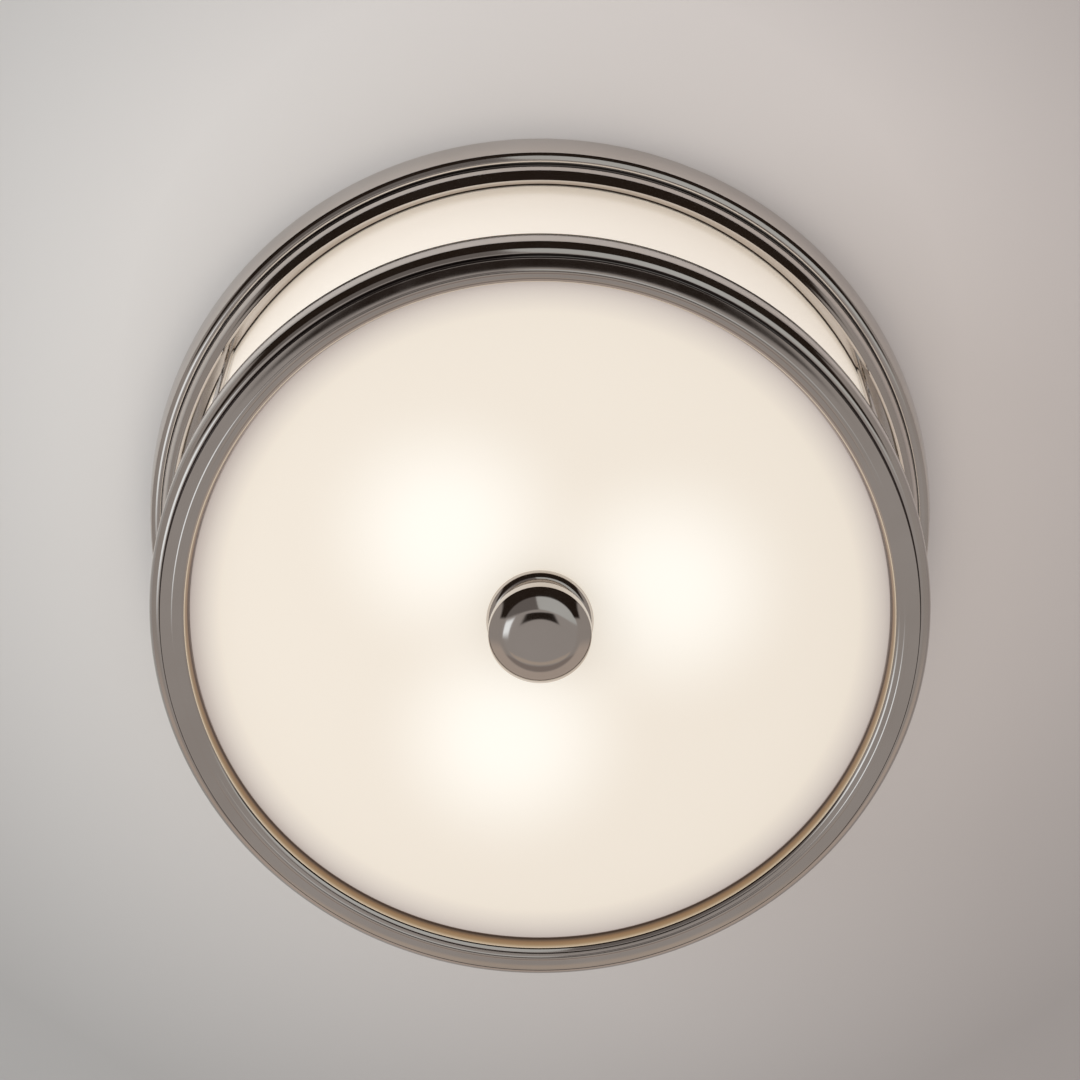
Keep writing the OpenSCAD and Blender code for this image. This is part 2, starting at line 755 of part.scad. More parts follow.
// Turned base: a rounded edge on the glass and a low dome that runs in to the knob's neck
module finial_base() {
    edge_r = 2.2;
    edge = turned_arc([base_r - edge_r * (1 - sin(110)), base_top_z - 0.1], edge_r, 110, 59, 7);
    dome = turned_arc(edge[len(edge) - 1], 5, 59, 25, 5);
    color(nickel) difference() {
        turned(concat([[0, base_top_z], [edge[0][0], base_top_z]], edge, dome, [
            [stem_r + 0.6, base_low_z], [0, base_low_z]
        ]));
        rod(rod_r + slide_fit, base_low_z - 1, base_top_z + 1);
    }
}

// Turned knob: a neck, a flat shoulder with a rounded edge, a dished belly, a shallow cove and a
// nose, bored and threaded for the rod
module finial_knob() {
    edge = turned_arc(
        [knob_r - knob_edge_r * (1 - sin(170)), knob_z - knob_edge_r * cos(170)], knob_edge_r,
        170, knob_edge_slope, 12
    );
    edge_end = edge[len(edge) - 1];
    belly_r = (edge_end[0] - button_r) / (sin(knob_edge_slope) - sin(button_slope));
    belly = turned_arc(edge_end, belly_r, knob_edge_slope, button_slope, 9);
    cove = turned_arc(belly[len(belly) - 1], -cove_r, button_slope, cove_slope, 5);
    nose = turned_arc(cove[len(cove) - 1], nose_r, cove_slope, 4, 7);
    shoulder = edge[0] + [-0.3, 0.05];
    color(nickel) difference() {
        turned(concat(
            [[0, base_low_z], [stem_r, base_low_z], [stem_r, shoulder[1] + 2],
             [stem_r + 0.5, shoulder[1] + 1], [stem_r + 1.8, shoulder[1] + 0.4], shoulder],
            edge, belly, cove, nose, [[0, nose[len(nose) - 1][1] - 0.1]]
        ));
        rod(rod_r + thread_fit, base_low_z - knob_bore_depth, base_low_z + 1);
    }
}

ceiling_pan();
pan_rim();
mounting_strap();
pan_studs();
cap_nuts();
ground_screw();
centre_rod();
rod_nuts();
rod_washers();
reflector();
holder_cup(0);  // holder_cup_1
holder_cup(1);  // holder_cup_2
holder_cup(2);  // holder_cup_3
lampholder(0);  // lampholder_1
lampholder(1);  // lampholder_2
lampholder(2);  // lampholder_3
screw_shell(0);  // screw_shell_1
screw_shell(1);  // screw_shell_2
screw_shell(2);  // screw_shell_3
holder_screws();
holder_nuts();
bulb_cap(0);  // bulb_cap_1
bulb_cap(1);  // bulb_cap_2
bulb_cap(2);  // bulb_cap_3
bulb_glass(0);  // bulb_glass_1
bulb_glass(1);  // bulb_glass_2
bulb_glass(2);  // bulb_glass_3
lead_sleeve(0);  // lead_sleeve_1
lead_sleeve(1);  // lead_sleeve_2
lead_sleeve(2);  // lead_sleeve_3
lead_grommets();
terminal_block();
terminal_screws();
post(0);  // post_1
post(1);  // post_2
post(2);  // post_3
post_screws();
upper_gasket();
side_glass();
lower_gasket();
lower_ring();
seat_ring();
diffuser_gasket();
bottom_glass();
glass_bushing();
finial_washer();
finial_base();
finial_knob();
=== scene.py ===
import math

import bmesh
import bpy
from mathutils import Matrix, Vector


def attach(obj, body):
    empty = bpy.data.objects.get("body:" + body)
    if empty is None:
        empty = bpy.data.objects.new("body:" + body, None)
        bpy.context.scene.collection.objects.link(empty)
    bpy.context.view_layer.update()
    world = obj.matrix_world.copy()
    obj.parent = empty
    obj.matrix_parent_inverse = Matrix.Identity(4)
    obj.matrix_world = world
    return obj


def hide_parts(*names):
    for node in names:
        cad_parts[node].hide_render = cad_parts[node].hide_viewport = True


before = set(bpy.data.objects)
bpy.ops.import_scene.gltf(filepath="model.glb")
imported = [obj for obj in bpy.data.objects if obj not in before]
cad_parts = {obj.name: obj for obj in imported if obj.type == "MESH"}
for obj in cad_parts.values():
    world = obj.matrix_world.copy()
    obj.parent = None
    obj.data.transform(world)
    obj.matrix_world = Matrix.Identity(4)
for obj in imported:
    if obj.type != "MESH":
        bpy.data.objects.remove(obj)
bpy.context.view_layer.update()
MM = 0.001

# Camera
# The light is seen from below and a little to one side, through a long lens, as someone
# standing back in the room sees it. The camera leans 19.3 degrees from straight up.
camera_place = Vector((0.0, -532.0, -1546.4)) * MM
camera_tilt = math.radians(19.3)
camera_data = bpy.data.cameras.new("camera")
camera_data.lens = 120.0
camera_data.sensor_width = 36.0
camera_data.clip_start = 0.05
camera = bpy.data.objects.new("camera", camera_data)
look = Vector((0.0, math.sin(camera_tilt), math.cos(camera_tilt)))
image_up = Vector((0.0, -math.cos(camera_tilt), math.sin(camera_tilt)))
camera.matrix_world = Matrix.Translation(camera_place) @ Matrix((
    (1.0, image_up.x, -look.x, 0.0),
    (0.0, image_up.y, -look.y, 0.0),
    (0.0, image_up.z, -look.z, 0.0),
    (0.0, 0.0, 0.0, 1.0),
))
bpy.context.collection.objects.link(camera)
bpy.context.scene.camera = camera


# Ceiling pan
# A disc of steel spun over a form: a flat back, and round it the moulded rim that closes
# against the ceiling. It is nickel plated all over, and polished like a mirror except on
# the back, which the ceiling hides.
lip_plane = -136.0
drum_r = 159.0
rim_lip_r = drum_r + 5.6
rim_r = rim_lip_r + 12.2
pan_t = 1.2
pan_back = -12.0
pan_low = pan_back - pan_t
wall_low = -17.4
rim_low = -28.5
rim_groove_r = rim_r - 6.95
ring_r = drum_r + 5.3
ring_groove_r = ring_r - 4.98
glass_wall_r = ring_r - 16.6
rod_hole_r = 5.02


def beads(start, slope, *arcs):
    """Points of arcs that run on from each other, inwards and down, from a starting point.

    A slope is how far the surface leans outwards from flat, in degrees. Each arc has its
    radius, the slope that it ends at and its number of steps.
    """
    points = [start]
    for radius, slope_to, steps in arcs:
        r, z = points[-1]
        first = math.radians(slope)
        last = math.radians(slope_to)
        for i in range(1, steps + 1):
            now = first + (last - first) * i / steps
            points.append((
                r + radius * (math.sin(now) - math.sin(first)),
                z + radius * (math.cos(first) - math.cos(now)),
            ))
        slope = slope_to
    return points


def spun(outline, steps=256, closed=True):
    """A bmesh of a profile of (radius, height) points in mm, spun round the lamp's axis."""
    bm = bmesh.new()
    ring = [bm.verts.new((r * MM, 0.0, z * MM)) for r, z in outline]
    last = len(ring) if closed else len(ring) - 1
    for i in range(last):
        bm.edges.new((ring[i], ring[(i + 1) % len(ring)]))
    bmesh.ops.spin(
        bm, geom=bm.verts[:] + bm.edges[:], cent=(0.0, 0.0, 0.0), axis=(0.0, 0.0, 1.0),
        angle=2.0 * math.pi, steps=steps, use_merge=True,
    )
    bmesh.ops.remove_doubles(bm, verts=bm.verts, dist=1e-6)
    bmesh.ops.dissolve_degenerate(bm, dist=1e-7, edges=bm.edges)
    bmesh.ops.recalc_face_normals(bm, faces=bm.faces)
    return bm


def make_piece(bm, name, material, body, slot_name, *nodes):
    """Turns a bmesh into a finished piece that rides on a body and stands for its CAD nodes."""
    sharp = math.radians(32.0)
    for face in bm.faces:
        face.smooth = True
    for edge in bm.edges:
        edge.smooth = len(edge.link_faces) != 2 or edge.calc_face_angle(0.0) < sharp
    mesh = bpy.data.meshes.new(name)
    bm.to_mesh(mesh)
    bm.free()
    mesh.materials.append(material)
    piece = bpy.data.objects.new(name, mesh)
    bpy.context.collection.objects.link(piece)
    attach(piece, body)
    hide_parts(*nodes)
    return piece


def new_material(name):
    material = bpy.data.materials.new(name)
    material.use_nodes = True
    tree = material.node_tree
    return material, tree, tree.nodes["Principled BSDF"]


def place_on(tree):
    """Where a point lies, in metres."""
    return tree.nodes.new("ShaderNodeTexCoord").outputs["Object"]


def away_from(tree, point):
    """How far a place is from a point, in metres."""
    node = tree.nodes.new("ShaderNodeVectorMath")
    node.operation = "DISTANCE"
    node.inputs[1].default_value = point
    tree.links.new(place_on(tree), node.inputs[0])
    return node.outputs["Value"]


def away_from_axis(tree):
    """How far a place is from the lamp's axis, in metres."""
    flat = tree.nodes.new("ShaderNodeVectorMath")
    flat.operation = "MULTIPLY"
    flat.inputs[1].default_value = (1.0, 1.0, 0.0)
    tree.links.new(place_on(tree), flat.inputs[0])
    length = tree.nodes.new("ShaderNodeVectorMath")
    length.operation = "LENGTH"
    tree.links.new(flat.outputs["Vector"], length.inputs[0])
    return length.outputs["Value"]


def axes(tree, vector):
    """The X, Y and Z of a vector."""
    node = tree.nodes.new("ShaderNodeSeparateXYZ")
    tree.links.new(vector, node.inputs["Vector"])
    return node.outputs


def maths(tree, operation, *terms):
    """One Math node, whose terms are numbers or other nodes' results."""
    node = tree.nodes.new("ShaderNodeMath")
    node.operation = operation
    for i, term in enumerate(terms):
        if isinstance(term, float):
            node.inputs[i].default_value = term
        else:
            tree.links.new(term, node.inputs[i])
    return node.outputs["Value"]


def noise(tree, scale, detail=3.0):
    """A noise texture on Object coordinates, with its scale in waves to the metre."""
    texture = tree.nodes.new("ShaderNodeTexNoise")
    texture.inputs["Scale"].default_value = scale
    texture.inputs["Detail"].default_value = detail
    tree.links.new(place_on(tree), texture.inputs["Vector"])
    return texture.outputs["Fac"]


def spread(tree, value, low, high, from_low=0.3, from_high=0.7):
    """Goes evenly from one number to another as a value, such as a noise's, rises."""
    node = tree.nodes.new("ShaderNodeMapRange")
    node.inputs["From Min"].default_value = from_low
    node.inputs["From Max"].default_value = from_high
    node.inputs["To Min"].default_value = low
    node.inputs["To Max"].default_value = high
    tree.links.new(value, node.inputs["Value"])
    return node.outputs["Result"]


def blend(tree, amount, first, second):
    """Goes from one colour or number to another as the amount goes from 0 to 1."""
    node = tree.nodes.new("ShaderNodeMix")
    node.data_type = "FLOAT" if isinstance(second, float) else "RGBA"
    for name, end in (("A", first), ("B", second)):
        if isinstance(end, tuple):
            node.inputs[name].default_value = (*end, 1.0)
        elif isinstance(end, float):
            node.inputs[name].default_value = end
        else:
            tree.links.new(end, node.inputs[name])
    tree.links.new(amount, node.inputs["Factor"])
    return node.outputs["Result"]


def bump(tree, shader, value, depth):
    node = tree.nodes.new("ShaderNodeBump")
    node.inputs["Distance"].default_value = depth
    node.inputs["Strength"].default_value = 1.0
    tree.links.new(value, node.inputs["Height"])
    tree.links.new(node.outputs["Normal"], shader.inputs["Normal"])


nickel, tree, shader = new_material("polished_nickel")
shader.inputs["Metallic"].default_value = 1.0
cloud = spread(tree, noise(tree, 18.0, detail=4.0), 0.0, 1.0)
plating = blend(tree, cloud, (0.60, 0.555, 0.52), (0.66, 0.62, 0.59))

# The wall inside the ring's lip is tinted warm, with painted shade where it meets the bottom
# glass, and the bottom of the two grooves is darkened as painted shade.
out = away_from_axis(tree)
lip_tint_and_shade = tree.nodes.new("ShaderNodeValToRGB")
lip_tint_and_shade.color_ramp.elements[0].color = (0.17, 0.13, 0.10, 1.0)
lip_tint_and_shade.color_ramp.elements[1].color = (0.78, 0.70, 0.58, 1.0)
lip_tint_and_shade.color_ramp.elements.new(0.35).color = (0.46, 0.31, 0.18, 1.0)
lip_tint_and_shade.color_ramp.elements.new(0.65).color = (0.50, 0.37, 0.23, 1.0)
lip_wall = spread(tree, out, 0.0, 1.0, (glass_wall_r + 0.1) * MM, (glass_wall_r + 1.2) * MM)
tree.links.new(lip_wall, lip_tint_and_shade.inputs["Fac"])
near_lip = maths(tree, "COMPARE", out, (glass_wall_r + 0.3) * MM, 1.1 * MM)
below_glass = maths(tree, "LESS_THAN", axes(tree, place_on(tree))["Z"], (lip_plane + 8.0) * MM)
on_lip = maths(tree, "MULTIPLY", near_lip, below_glass)
plating = blend(tree, on_lip, plating, lip_tint_and_shade.outputs["Color"])
# painted shade in the bottom of both grooves
for groove_r, groove_half in ((ring_groove_r + 0.08, 0.42), (rim_groove_r + 0.05, 0.25)):
    groove_shade = maths(tree, "COMPARE", out, groove_r * MM, groove_half * MM)
    plating = blend(tree, groove_shade, plating, (0.07, 0.055, 0.05))
tree.links.new(plating, shader.inputs["Base Color"])

outward = tree.nodes.new("ShaderNodeTexCoord").outputs["Normal"]
on_back = spread(tree, axes(tree, outward)["Z"], 0.0, 1.0, 0.6, 0.9)
mirror_polish = spread(tree, noise(tree, 60.0), 0.06, 0.11)
tree.links.new(blend(tree, on_back, mirror_polish, 0.42), shader.inputs["Roughness"])
bump(tree, shader, noise(tree, 9.0, detail=1.0), 0.00006)

pan_outside = (
    [(rim_r - 0.5, 0.0), (rim_r, -0.5), (rim_r, -2.0), (rim_r - 0.1, -2.9)]
    + [(rim_r - 1.85, wall_low + 0.2), (rim_r - 2.1, wall_low - 0.3)]
    + beads((rim_r - 2.4, wall_low - 0.6), 42.0, (4.8, -15.0, 14))
    + [(rim_groove_r + 0.07, wall_low - 1.8), (rim_groove_r, wall_low - 2.2)]
    + beads((rim_groove_r, wall_low - 3.8), 85.0, (8.2, 32.0, 16))
    + [(rim_lip_r + 1.0, rim_low + 0.35), (rim_lip_r + 0.5, rim_low + 0.05)]
    + [(rim_lip_r - 0.1, rim_low + 0.15), (rim_lip_r - 0.5, rim_low + 0.6)]
    + [(rim_lip_r - 0.55, rim_low + 1.5), (rim_lip_r - 0.55, pan_low - 0.6), (rim_lip_r - 1.2, pan_low)]
)
pan_inside = (
    [(rim_r - 0.5 - pan_t, 0.0), (rim_r - pan_t, -2.5), (rim_r - 3.1, wall_low + 0.3)]
    + beads((rim_r - 3.2, wall_low + 0.3), 42.0, (4.1, -15.0, 6))
    + [(rim_groove_r - pan_t, wall_low - 0.3)]
    + beads((rim_groove_r - pan_t, wall_low - 3.7), 85.0, (7.0, 34.0, 7))
    + [(rim_lip_r + 0.65, rim_low + 2.5), (rim_lip_r + 0.65, pan_back - 0.7), (rim_lip_r, pan_back)]
)
bm = spun(pan_outside + [(rod_hole_r, pan_low), (rod_hole_r, pan_back)] + pan_inside[::-1])
make_piece(bm, "pan", nickel, "root", "polished_nickel", "ceiling_pan", "pan_rim")


# Lower ring
# A second spinning in the same plate: a flange under the glass drum, a rounded outer bead,
# a groove, a broad, gently rounded lower face and a lip that frames the bottom glass.
ring_h = 19.3
ring_t = 1.3
bead_r = 4.9
bead_h = 8.3
seat_h = 12.0
glass_h = 7.0
ring_outside = (
    [(ring_r - 4.1, ring_h - 0.1), (ring_r - 4.0, ring_h), (ring_r - 0.7, ring_h)]
    + [(ring_r - 0.2, ring_h - 0.2), (ring_r, ring_h - 0.7), (ring_r, 13.0)]
    + beads((ring_r, bead_h), 90.0, (bead_r, 0.0, 20))
    + [(ring_groove_r, 3.1), (ring_groove_r - 0.02, 2.6), (ring_groove_r, 0.5)]
    + beads((ring_groove_r, -0.5), 80.0, (0.25, 7.0, 6))
    + beads((ring_groove_r - 0.22, -0.7), 6.0, (48.0, 1.5, 10))[1:]
    + beads((ring_groove_r - 4.01, -0.95), 1.5, (29.3, -7.0, 10))[1:]
    + beads((glass_wall_r + 3.27, -0.74), -7.0, (3.5, -36.0, 8))[1:]
    + beads((glass_wall_r + 1.64, -0.1), -36.0, (1.5, -72.0, 6))[1:]
    + [(glass_wall_r, glass_h), (glass_wall_r, seat_h)]
)
ring_inside = (
    [(ring_r - 4.1, ring_h - 1.2), (ring_r - ring_t, ring_h - ring_t)]
    + beads((ring_r - ring_t, bead_h), 90.0, (bead_r - ring_t, 0.0, 8))
    + [(ring_groove_r - 0.97, 5.0), (ring_groove_r - 2.22, 5.0), (ring_groove_r - 2.32, 3.3)]
    + beads((ring_groove_r - 3.47, 0.31), 62.0, (2.7, -50.0, 8))
    + [(glass_wall_r + 3.0, 0.6), (glass_wall_r + ring_t, glass_h), (glass_wall_r + ring_t, seat_h)]
)
ring_profile = [(r, lip_plane + z) for r, z in ring_outside + ring_inside[::-1]]
make_piece(spun(ring_profile), "lower_ring_spun", nickel, "root", "polished_nickel", "lower_ring")


# Posts
# Three slim turned rods join the pan to the seat ring just outside the drum. Each has a
# spigot at its foot and chamfered ends, and is plated with the rings.
post_circle_r = drum_r + 2.0
post_r = 1.5
post_chamfer = 0.2
spigot_r = 1.1
spigot_l = 1.5
post_angle = 91.8
post_top = pan_low
post_foot = lip_plane + 13.5
for i in range(3):
    angle = math.radians(post_angle + 120.0 * i)
    outline = [
        (0.0, post_top), (post_r - post_chamfer, post_top), (post_r, post_top - post_chamfer),
        (post_r, post_foot + post_chamfer), (post_r - post_chamfer, post_foot),
        (spigot_r, post_foot), (spigot_r, post_foot - spigot_l), (0.0, post_foot - spigot_l),
    ]
    bm = spun(outline, steps=32, closed=False)
    place = Vector((math.cos(angle), math.sin(angle), 0.0)) * post_circle_r * MM
    bmesh.ops.translate(bm, vec=place, verts=bm.verts)
    make_piece(bm, "post_rod_%d" % (i + 1), nickel, "root", "polished_nickel", "post_%d" % (i + 1))


# Bulbs
# Three small globe bulbs. Each is a thin frosted glass globe drawn in to a neck, which is
# cemented into the collar of a brass screw cap.
lamp_circle_r = 59.0
lamp_places = [
    Vector((math.cos(math.radians(a)), math.sin(math.radians(a)), 0.0)) * lamp_circle_r * MM
    for a in (-135.0, -15.0, 105.0)
]
globe_r = 26.2
globe_z = -79.0
globe_top = math.radians(36.0)
bulb_neck_r = 6.6
bulb_neck_top = -45.1
bulb_glass, tree, shader = new_material("bulb_frosted_glass")
shader.inputs["Base Color"].default_value = (0.95, 0.92, 0.86, 1.0)
shader.inputs["Roughness"].default_value = 0.45
shader.inputs["Emission Color"].default_value = (1.0, 0.83, 0.62, 1.0)
shader.inputs["Emission Strength"].default_value = 2.5
bump(tree, shader, noise(tree, 1500.0), 0.00005)
bulb_outline = (
    [(0.0, bulb_neck_top), (bulb_neck_r, bulb_neck_top), (bulb_neck_r, bulb_neck_top - 4.5)]
    + [(7.2, bulb_neck_top - 7.0), (9.0, bulb_neck_top - 9.4), (12.0, bulb_neck_top - 11.4)]
    + beads((globe_r * math.sin(globe_top), globe_z + globe_r * math.cos(globe_top)), 144.0,
            (globe_r, 0.0, 24))
)
for i, place in enumerate(lamp_places):
    bm = spun(bulb_outline, steps=64, closed=False)
    bmesh.ops.translate(bm, vec=place, verts=bm.verts)
    make_piece(bm, "globe_%d" % (i + 1), bulb_glass, "bulb_%d" % (i + 1), "bulb_frosted_glass",
               "bulb_glass_%d" % (i + 1))


# Side glass
# An open drum of white glass, etched to a soft matt finish, with both ends ground flat. The
# glow of the lit bulbs inside is painted on as emission, most where a bulb is near.
glow_pull = 0.93


def painted_glow(tree, height, reach):
    """How much light the three bulbs throw on a place, from 0 to about 1.

    Each painted spot of light lies a little nearer the lamp's axis than its bulb does.
    """
    total = 0.0
    for lamp in lamp_places:
        spot = (lamp.x * glow_pull, lamp.y * glow_pull, height)
        fade = tree.nodes.new("ShaderNodeMapRange")
        fade.interpolation_type = "SMOOTHERSTEP"
        fade.inputs["From Min"].default_value = 0.0
        fade.inputs["From Max"].default_value = reach
        fade.inputs["To Min"].default_value = 1.0
        fade.inputs["To Max"].default_value = 0.0
        tree.links.new(away_from(tree, spot), fade.inputs["Value"])
        total = maths(tree, "ADD", total, fade.outputs["Result"])
    return total


side_glass, tree, shader = new_material("side_frosted_glass")
shader.inputs["Base Color"].default_value = (0.62, 0.60, 0.57, 1.0)
shader.inputs["Roughness"].default_value = 0.42
shader.inputs["Emission Strength"].default_value = 1.0
# The bulbs' light on the drum is painted on as emission.
side_light = blend(tree, painted_glow(tree, globe_z * MM, 0.16), (0.44, 0.385, 0.32), (0.58, 0.52, 0.44))
tree.links.new(side_light, shader.inputs["Emission Color"])
bump(tree, shader, noise(tree, 2400.0), 0.00003)
drum_in_r = drum_r - 4.0
drum_top = pan_low - 1.5
drum_low = lip_plane + 15.0
drum_outline = [
    (drum_in_r + 0.5, drum_top), (drum_r - 0.5, drum_top),
    (drum_r - 0.1, drum_top - 0.15), (drum_r, drum_top - 0.5),
    (drum_r, drum_low + 0.5), (drum_r - 0.1, drum_low + 0.15),
    (drum_r - 0.5, drum_low), (drum_in_r + 0.5, drum_low),
    (drum_in_r + 0.1, drum_low + 0.15), (drum_in_r, drum_low + 0.5),
    (drum_in_r, drum_top - 0.5), (drum_in_r + 0.1, drum_top - 0.15),
]
make_piece(spun(drum_outline), "glass_drum", side_glass, "root", "side_frosted_glass", "side_glass")


# Bottom glass
# A flat disc of the same etched glass with a polished edge. It is held up against the seat
# ring by the finial. The bulbs' light through it is painted on as emission in three soft
# spots, with painted shade along its edge.
glass_low = lip_plane + glass_h
glass_top = glass_low + 4.0
disc_r = glass_wall_r - 0.4
disc_hole_r = 6.5
bottom_glass, tree, shader = new_material("bottom_frosted_glass")
shader.inputs["Base Color"].default_value = (0.55, 0.53, 0.50, 1.0)
shader.inputs["Roughness"].default_value = 0.40
shader.inputs["Emission Strength"].default_value = 1.0
light = blend(tree, painted_glow(tree, glass_low * MM, 0.07), (0.44, 0.38, 0.30), (0.60, 0.57, 0.51))
# painted shade along the edge of the glass, where the seat ring holds back the bulbs' light
edge_shade = spread(tree, away_from_axis(tree), 0.0, 1.0, (disc_r - 13.3) * MM, (disc_r - 0.3) * MM)
light = blend(tree, edge_shade, light, (0.26, 0.215, 0.195))
tree.links.new(light, shader.inputs["Emission Color"])
bump(tree, shader, noise(tree, 2400.0), 0.00003)
disc_outline = [
    (disc_hole_r, glass_low + 0.3), (disc_hole_r + 0.3, glass_low),
    (disc_r - 0.6, glass_low), (disc_r - 0.15, glass_low + 0.2), (disc_r, glass_low + 0.6),
    (disc_r, glass_top - 0.6), (disc_r - 0.15, glass_top - 0.2), (disc_r - 0.6, glass_top),
    (disc_hole_r + 0.3, glass_top), (disc_hole_r, glass_top - 0.3),
]
make_piece(spun(disc_outline), "glass_disc", bottom_glass, "diffuser", "bottom_frosted_glass",
           "bottom_glass")


# Finial
# Two solid brass turnings, plated and polished. The base spreads the load over the glass.
# The knob screws up under it: a flat shoulder, a rounded wall, a full belly and a flat face.
base_top = lip_plane + 6.4
base_low = lip_plane + 2.2
base_r = 22.6
base_bore_r = 5.215
base_edge_r = 2.2
neck_r = 10.5
top_slope = 110.0
past_widest = 1.0 - math.sin(math.radians(top_slope))
base_outline = (
    [(base_bore_r, base_low), (base_bore_r, base_top), (base_r - base_edge_r * past_widest, base_top)]
    + beads((base_r - base_edge_r * past_widest, base_top - 0.1), top_slope,
            (base_edge_r, 59.0, 12), (5.0, 25.0, 8))
    + [(neck_r + 0.6, base_low)]
)
make_piece(spun(base_outline, steps=128), "finial_flare", nickel, "diffuser", "polished_nickel",
           "finial_base")

knob_r = 21.7
knob_z = lip_plane - 8.2
knob_bore_r = 4.95
bore_end = lip_plane - 10.5
wall_curve_r = 8.0
face_slope = 2.5
wall = beads((knob_r - wall_curve_r * past_widest, knob_z + 3.6), top_slope, (wall_curve_r, 90.0, 10))
top_edge = beads((wall[0][0] - 1.0, wall[0][1] + 0.5), 170.0, (1.1, top_slope + 2.0, 5))
belly = beads((wall[-1][0], wall[-1][1] - 2.0), 90.0, (wall_curve_r, 80.0, 6), (0.7, 48.0, 6),
              (15.6, 10.0, 30), (33.0, face_slope, 10))
face = beads(belly[-1], face_slope, (belly[-1][0] / math.sin(math.radians(face_slope)), 0.3, 6))[1:]
shoulder = top_edge[0][1] + 0.05
knob_outline = (
    [(knob_bore_r, base_low), (neck_r, base_low), (neck_r, shoulder + 2.0)]
    + [(neck_r + 0.15, shoulder + 1.5), (neck_r + 0.55, shoulder + 1.0), (neck_r + 1.1, shoulder + 0.6)]
    + [(neck_r + 1.9, shoulder + 0.35), (neck_r + 3.5, shoulder + 0.2)]
    + top_edge + wall + belly + face
    + [(0.0, face[-1][1] - 0.03), (0.0, bore_end), (knob_bore_r, bore_end)]
)
make_piece(spun(knob_outline, steps=128), "finial_ball", nickel, "finial", "polished_nickel",
           "finial_knob")


# Metal, porcelain and plastic inside and behind
# The pieces that the pan and the glass hide keep their own shapes, with the finish that
# such pieces have: zinc plate, brass, white enamel, porcelain, nylon, silicone and felt.
def finish(name, colour, second, roughness, metallic=0.0, grain=200.0, depth=0.00002, coat=0.0):
    material, tree, shader = new_material(name)
    shader.inputs["Metallic"].default_value = metallic
    shader.inputs["Coat Weight"].default_value = coat
    mottle = blend(tree, spread(tree, noise(tree, grain), 0.0, 1.0), colour, second)
    tree.links.new(mottle, shader.inputs["Base Color"])
    gloss = spread(tree, noise(tree, grain * 2.0), roughness * 0.8, roughness * 1.2)
    tree.links.new(gloss, shader.inputs["Roughness"])
    bump(tree, shader, noise(tree, grain * 4.0), depth)
    return material


def dress(material, *names):
    for name in names:
        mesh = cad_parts[name].data
        mesh.materials.clear()
        mesh.materials.append(material)


zinc = finish("zinc_plate", (0.60, 0.61, 0.62), (0.70, 0.70, 0.70), 0.30, metallic=1.0)
brass = finish("brass", (0.66, 0.48, 0.20), (0.74, 0.56, 0.26), 0.24, metallic=1.0)
enamel = finish("white_enamel", (0.80, 0.80, 0.78), (0.84, 0.84, 0.82), 0.25, grain=30.0, coat=0.3)
porcelain = finish("porcelain", (0.82, 0.80, 0.75), (0.86, 0.85, 0.80), 0.20, grain=40.0, coat=0.5)
green_zinc = finish("green_screw", (0.03, 0.22, 0.07), (0.05, 0.28, 0.10), 0.35, metallic=0.6)
sleeve = finish("fibre_sleeve", (0.70, 0.69, 0.66), (0.80, 0.79, 0.76), 0.80, grain=1500.0, depth=0.0001)
nylon = finish("black_nylon", (0.015, 0.015, 0.016), (0.03, 0.03, 0.03), 0.45)
cream = finish("terminal_plastic", (0.72, 0.64, 0.48), (0.76, 0.69, 0.54), 0.35)
silicone = finish("silicone", (0.72, 0.72, 0.70), (0.78, 0.78, 0.76), 0.60)
white_nylon = finish("white_nylon", (0.75, 0.75, 0.72), (0.80, 0.80, 0.78), 0.45)
felt = finish("felt", (0.58, 0.53, 0.46), (0.66, 0.61, 0.54), 0.95, grain=2500.0, depth=0.0002)
dress(nickel, "cap_nuts")
dress(zinc, "mounting_strap", "pan_studs", "rod_washers", "holder_screws", "holder_nuts",
      "terminal_screws", "post_screws")
dress(brass, "centre_rod", "rod_nuts")
for i in range(1, len(lamp_places) + 1):
    dress(zinc, "holder_cup_%d" % i)
    dress(brass, "screw_shell_%d" % i, "bulb_cap_%d" % i)
    dress(porcelain, "lampholder_%d" % i)
    dress(sleeve, "lead_sleeve_%d" % i)
dress(enamel, "reflector", "seat_ring")
dress(green_zinc, "ground_screw")
dress(nylon, "lead_grommets")
dress(cream, "terminal_block")
dress(silicone, "upper_gasket", "lower_gasket", "diffuser_gasket")
dress(white_nylon, "glass_bushing")
dress(felt, "finial_washer")


# Ceiling
# A ceiling board that the pan closes against. Its colour holds painted light: brightest round
# the light and fading away from it, and lighter to the left than to the right. It is clear
# from its back and inside the pan, so that the light's own back can be seen from above.
bm = bmesh.new()
bmesh.ops.create_grid(bm, x_segments=1, y_segments=1, size=1.0)
bmesh.ops.scale(bm, vec=(0.9, 0.6, 1.0), verts=bm.verts)
bmesh.ops.translate(bm, vec=(0.0, 0.3, 0.0004), verts=bm.verts)
bmesh.ops.reverse_faces(bm, faces=bm.faces)
mesh = bpy.data.meshes.new("ceiling")
bm.to_mesh(mesh)
bm.free()
ceiling = bpy.data.objects.new("ceiling", mesh)
bpy.context.collection.objects.link(ceiling)
ceiling_material, tree, shader = new_material("ceiling_paint_and_painted_light")
shader.inputs["Roughness"].default_value = 0.9
# painted light: lighter to the left, darker and pinker to the right
across = spread(tree, axes(tree, place_on(tree))["X"], 0.0, 1.0, -0.22, 0.22)
painted_side_light = blend(tree, across, (0.80, 0.79, 0.775), (0.71, 0.655, 0.63))
